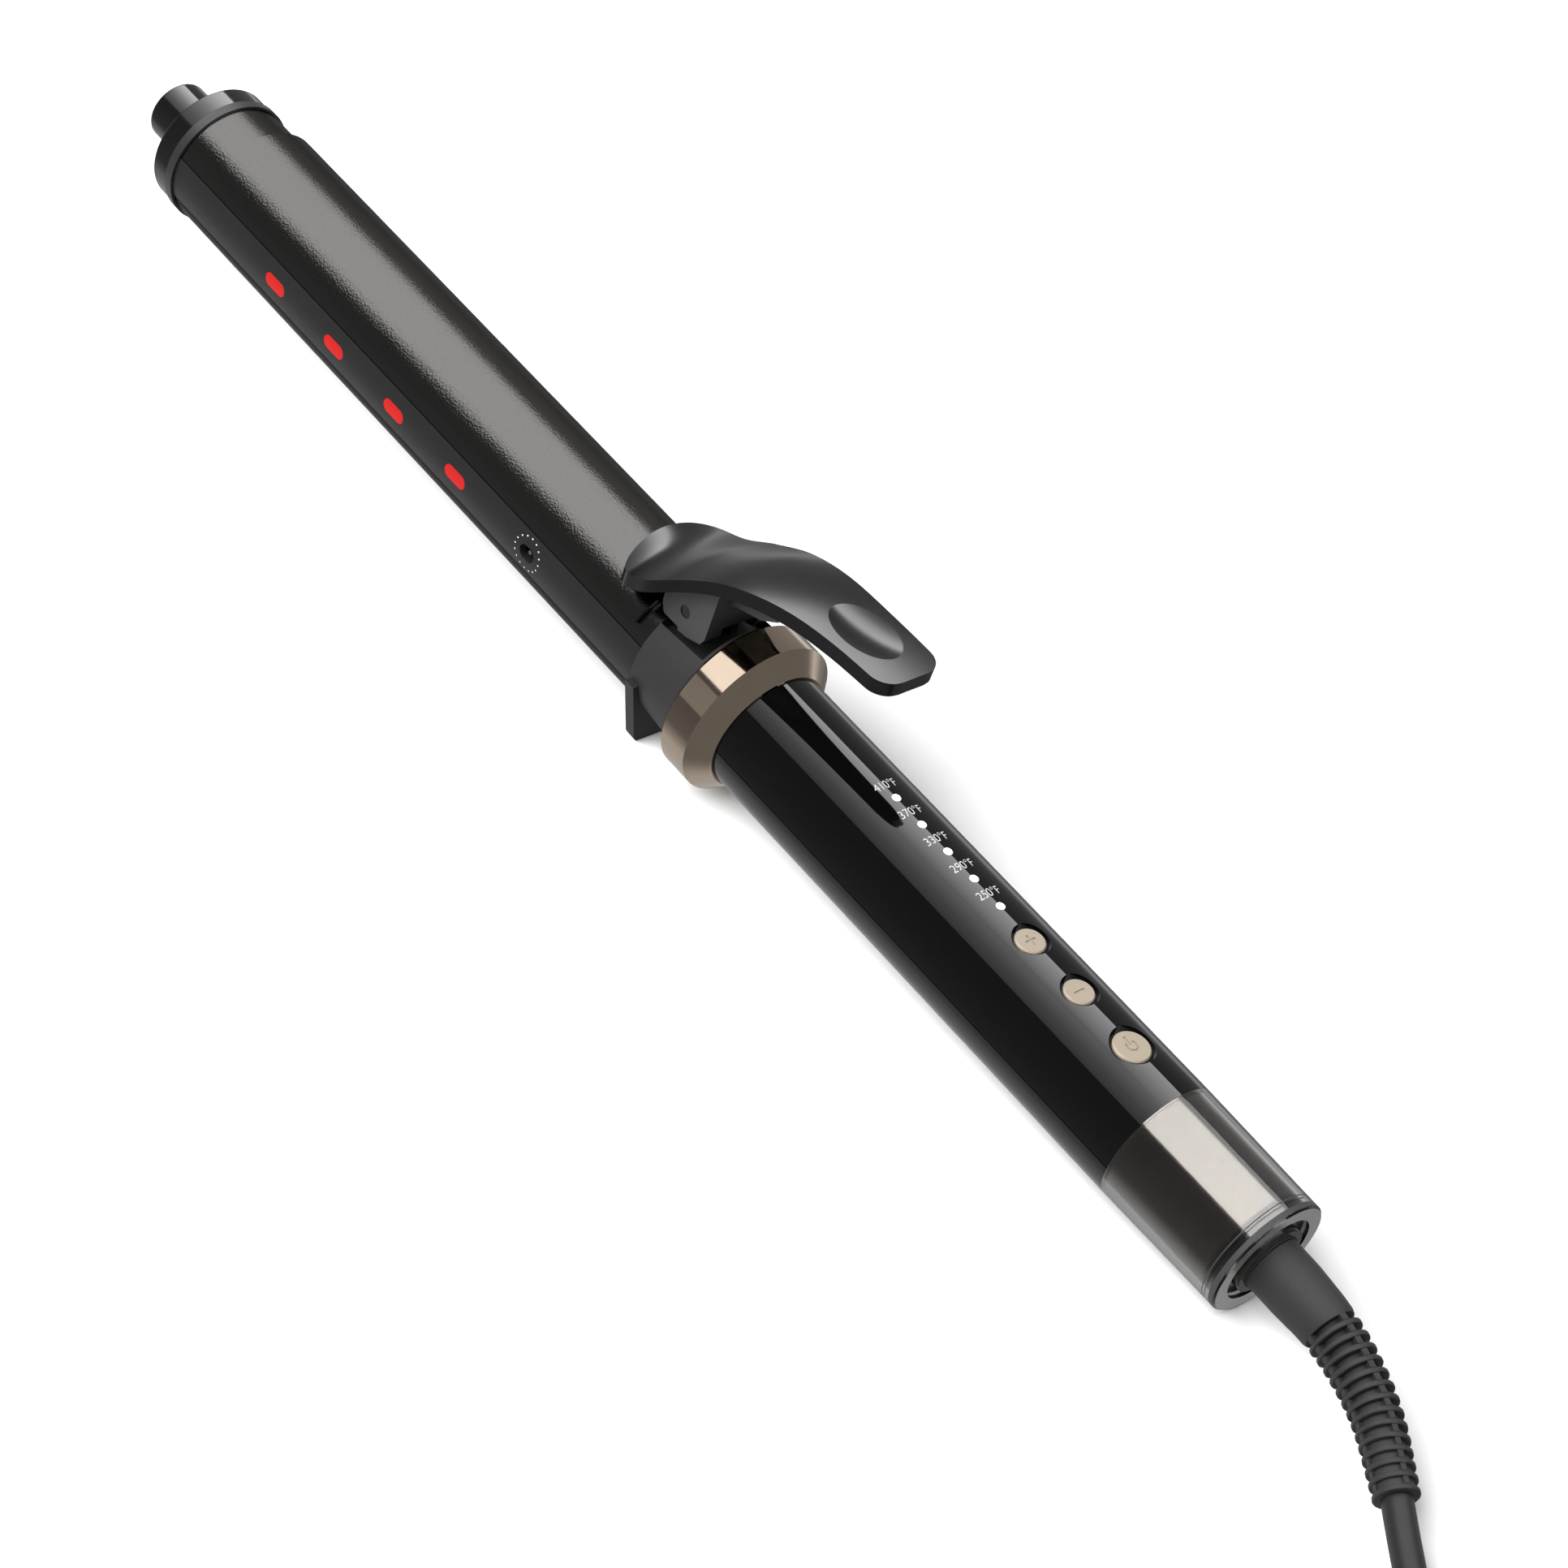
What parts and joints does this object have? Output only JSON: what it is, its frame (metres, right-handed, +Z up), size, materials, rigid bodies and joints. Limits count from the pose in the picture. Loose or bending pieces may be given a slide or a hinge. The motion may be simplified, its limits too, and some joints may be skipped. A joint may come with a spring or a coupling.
{
  "type": "curling iron",
  "caption": "Curling iron with a spring clamp and thumb lever, infrared strip along the barrel, button-controlled gloss handle and swivel mains cord.",
  "frame": {"origin": "centre of the flat underside of the rest foot, on the surface the iron lies on", "axes": "+X along the iron towards the cord, +Z up, -Y the side of the infrared strip"},
  "size_m": [0.6229, 0.0652, 0.0635],
  "materials": {
    "tip_black": "gloss black heat-proof plastic",
    "tip_ring_grey": "satin grey heat-proof plastic",
    "barrel_coating": "satin charcoal ceramic coating on aluminium",
    "clamp_coating": "fine blasted titanium-grey coating",
    "strip_plastic": "satin charcoal plastic",
    "red_lens": "clear red, lit from behind",
    "board_green": "solder mask",
    "led_package": "white package",
    "needle_steel": "bright",
    "heater_ceramic": "ceramic in film",
    "spreader_aluminium": "mill finish",
    "sensor_glass": "bead in film",
    "fuse_metal": "tinned",
    "wire_silicone": "silicone insulation",
    "neck_matte": "fine-grained matte black",
    "champagne_metal": "champagne-bronze mirror metal",
    "handle_black": "piano black gloss",
    "screw_steel": "zinc plated",
    "dot_white": "frosted white light pipe",
    "button_champagne": "satin champagne",
    "switch_black": "moulded",
    "module_black": "potted module",
    "can_black": "shrink sleeve",
    "terminal_white": "nylon",
    "coupler_black": "moulded",
    "bronze_sleeve": "polished bronze anodised",
    "smoke_clear": "smoke-clear acrylic",
    "end_disc": "polished warm grey",
    "bush_black": "gloss dark bush",
    "pin_steel": "blackened steel",
    "spring_steel": "spring steel",
    "lever_black": "semi-gloss black",
    "bracket_grey": "matte dark grey",
    "rivet_steel": "rivet",
    "cord_rubber": "matte black rubber",
    "cord_jacket": "black jacket",
    "tie_black": "soft tie",
    "plug_black": "moulded plug",
    "blade_brass": "nickel-plated brass"
  },
  "bodies": {
    "root": {"cool_tip": "tip_black", "tip_ring": "tip_ring_grey", "tip_screw": "screw_steel", "barrel_tube": "barrel_coating", "infrared_strip": "strip_plastic", "infrared_lenses": "red_lens", "led_board": "board_green", "infrared_leds": "led_package", "ion_needle": "needle_steel", "heat_spreader_upper": "spreader_aluminium", "heat_spreader_lower": "spreader_aluminium", "heater_plate": "heater_ceramic", "temperature_sensor": "sensor_glass", "thermal_fuse": "fuse_metal", "heater_wires": "wire_silicone", "neck_shroud": "neck_matte", "rest_foot": "neck_matte", "trim_ring": "champagne_metal", "hinge_pin": "pin_steel", "torsion_spring": "spring_steel", "handle_shell_upper": "handle_black", "handle_shell_lower": "handle_black", "handle_screws": "screw_steel", "indicator_lenses": "dot_white", "indicator_leds": "led_package", "control_board": "board_green", "board_screws": "screw_steel", "button_switches": "switch_black", "ion_generator": "module_black", "smoothing_capacitor": "can_black", "terminal_block": "terminal_white", "end_coupler": "coupler_black", "end_sleeve": "bronze_sleeve", "clear_sleeve": "smoke_clear", "end_cap": "end_disc", "swivel_bush": "bush_black", "contact_plate": "coupler_black"},
    "lever": {"thumb_lever": "lever_black", "lever_bracket": "bracket_grey", "clamp_plate": "clamp_coating", "clamp_rivets": "rivet_steel"},
    "plus_key": {"plus_button": "button_champagne"},
    "minus_key": {"minus_button": "button_champagne"},
    "power_key": {"power_button": "button_champagne"},
    "cord": {"strain_relief": "cord_rubber", "cord_lead": "cord_jacket", "cord_hank": "cord_jacket", "cord_tail": "cord_jacket", "cord_tie": "tie_black", "plug_body": "plug_black", "plug_blades": "blade_brass"}
  },
  "joints": [
    {"name": "lever_hinge", "type": "hinge", "parent": "root", "child": "lever", "pos_m": [0.00388, 0, 0.03988], "axis": [0, 1, 0], "range_deg": [0, 20], "stiffness_Nm_per_rad": 0.15, "springref_deg": -17.19},
    {"name": "plus_press", "type": "slide", "parent": "root", "child": "plus_key", "axis": [-0.0396, 0, -0.9992], "range_m": [0, 0.0008], "stiffness_N_per_m": 400},
    {"name": "minus_press", "type": "slide", "parent": "root", "child": "minus_key", "axis": [-0.0396, 0, -0.9992], "range_m": [0, 0.0008], "stiffness_N_per_m": 400},
    {"name": "power_press", "type": "slide", "parent": "root", "child": "power_key", "axis": [-0.0396, 0, -0.9992], "range_m": [0, 0.0008], "stiffness_N_per_m": 400},
    {"name": "cord_swivel", "type": "hinge", "parent": "root", "child": "cord", "pos_m": [0.18982, 0, 0.01449], "axis": [0.9992, 0, -0.0396], "continuous": true}
  ]
}
